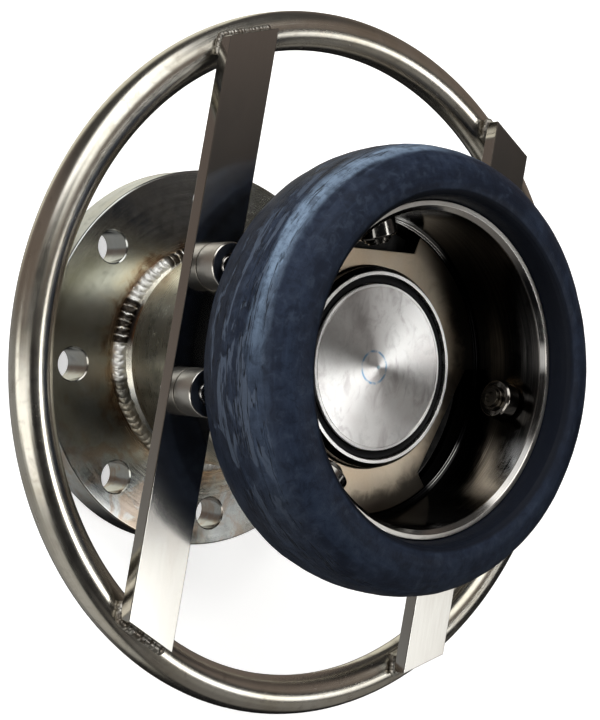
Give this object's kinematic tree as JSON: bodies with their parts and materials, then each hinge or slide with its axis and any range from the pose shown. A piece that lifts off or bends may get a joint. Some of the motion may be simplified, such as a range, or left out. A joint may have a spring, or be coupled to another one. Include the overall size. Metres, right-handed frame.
{
  "type": "dry-disconnect hose coupler",
  "caption": "Dry-disconnect coupler: pipe flange, swivel neck, steel bell with cam rollers and rubber bumper, spring-loaded poppet valve, and a handwheel on flat bars.",
  "frame": {"origin": "centre of the pipe flange's gasket face, which the coupler stands on", "axes": "+Z along the flow axis towards the open mouth, +X along the two flat bars of the handwheel"},
  "size_m": [0.3888, 0.3888, 0.2358],
  "materials": {
    "flange_steel": "turned and lightly brushed stainless steel, brown heat tint near the weld",
    "body_steel": "satin stainless steel, slightly warm",
    "turned_steel": "fine turned stainless steel",
    "wheel_steel": "brushed stainless tube and flat bar",
    "weld_steel": "rippled weld bead",
    "fastener_steel": "bright fastener steel",
    "spring_steel": "drawn spring wire",
    "bumper_rubber": "moulded blue-black rubber with chalky scuffs",
    "seal_rubber": "smooth black seal rubber",
    "ptfe": "dark grey graphite-filled low-friction plastic",
    "bearing_bronze": "bearing bronze"
  },
  "bodies": {
    "flange_end": {"pipe_flange": "flange_steel", "neck_pipe": "body_steel", "flange_weld_bead": "weld_steel"},
    "ball_rows": {"swivel_balls_rear": "fastener_steel", "swivel_balls_front": "fastener_steel"},
    "coupler_body": {"swivel_housing": "body_steel", "valve_body": "body_steel", "swivel_o_ring": "seal_rubber", "swivel_dust_seal": "seal_rubber", "ball_plug_rear": "fastener_steel", "ball_plug_front": "fastener_steel", "piston_o_ring": "seal_rubber"},
    "bell": {"bell_housing": "turned_steel", "bell_bearing_band": "bearing_bronze", "thrust_washer": "ptfe", "rubber_bumper": "bumper_rubber", "roller_pin_1": "fastener_steel", "roller_pin_2": "fastener_steel", "roller_pin_3": "fastener_steel", "handwheel_ring": "wheel_steel", "handwheel_bar_1": "wheel_steel", "handwheel_bar_2": "wheel_steel", "bar_weld_1": "weld_steel", "bar_weld_2": "weld_steel", "bar_weld_3": "weld_steel", "bar_weld_4": "weld_steel", "bar_bolt_1": "fastener_steel", "bar_bolt_2": "fastener_steel", "bar_bolt_3": "fastener_steel", "bar_bolt_4": "fastener_steel"},
    "roller_1": {"cam_roller_1": "turned_steel"},
    "roller_2": {"cam_roller_2": "turned_steel"},
    "roller_3": {"cam_roller_3": "turned_steel"},
    "piston": {"piston_sleeve": "turned_steel", "seat_ring": "turned_steel", "face_seal": "seal_rubber", "stem_guide_spider": "body_steel", "drive_pin_1": "fastener_steel", "drive_pin_2": "fastener_steel", "drive_pin_3": "fastener_steel", "poppet_spring": "spring_steel"},
    "poppet": {"poppet_disc": "turned_steel", "poppet_o_ring": "seal_rubber", "poppet_stem": "turned_steel", "stem_nut": "fastener_steel"}
  },
  "joints": [
    {"name": "swivel", "type": "hinge", "parent": "flange_end", "child": "coupler_body", "pos_m": [0, 0, 0.06], "axis": [0, 0, 1], "continuous": true},
    {"name": "ball_rows_roll", "type": "hinge", "parent": "flange_end", "child": "ball_rows", "pos_m": [0, 0, 0.06], "axis": [0, 0, 1], "continuous": true},
    {"name": "wheel_turn", "type": "hinge", "parent": "coupler_body", "child": "bell", "pos_m": [0, 0, 0.15], "axis": [0, 0, 1], "range_deg": [0, 105]},
    {"name": "piston_stroke", "type": "slide", "parent": "coupler_body", "child": "piston", "axis": [0, 0, 1], "range_m": [0, 0.018]},
    {"name": "poppet_lift", "type": "slide", "parent": "piston", "child": "poppet", "axis": [0, 0, -1], "range_m": [0, 0.025], "stiffness_N_per_m": 2500, "springref_m": -0.012, "deforming": ["poppet_spring"]},
    {"name": "roller_1_spin", "type": "hinge", "parent": "bell", "child": "roller_1", "pos_m": [-0.06741, -0.03509, 0.198], "axis": [-0.887, -0.4617, 0], "continuous": true},
    {"name": "roller_2_spin", "type": "hinge", "parent": "bell", "child": "roller_2", "pos_m": [0.0641, -0.04084, 0.198], "axis": [0.8434, -0.5373, 0], "continuous": true},
    {"name": "roller_3_spin", "type": "hinge", "parent": "bell", "child": "roller_3", "pos_m": [0.00331, 0.07593, 0.198], "axis": [0.0436, 0.999, 0], "continuous": true}
  ],
  "couplings": [
    {"joint": "ball_rows_roll", "follows": "swivel", "ratio": 0.5},
    {"joint": "piston_stroke", "follows": "wheel_turn", "m_per_rad": 0.009822}
  ]
}
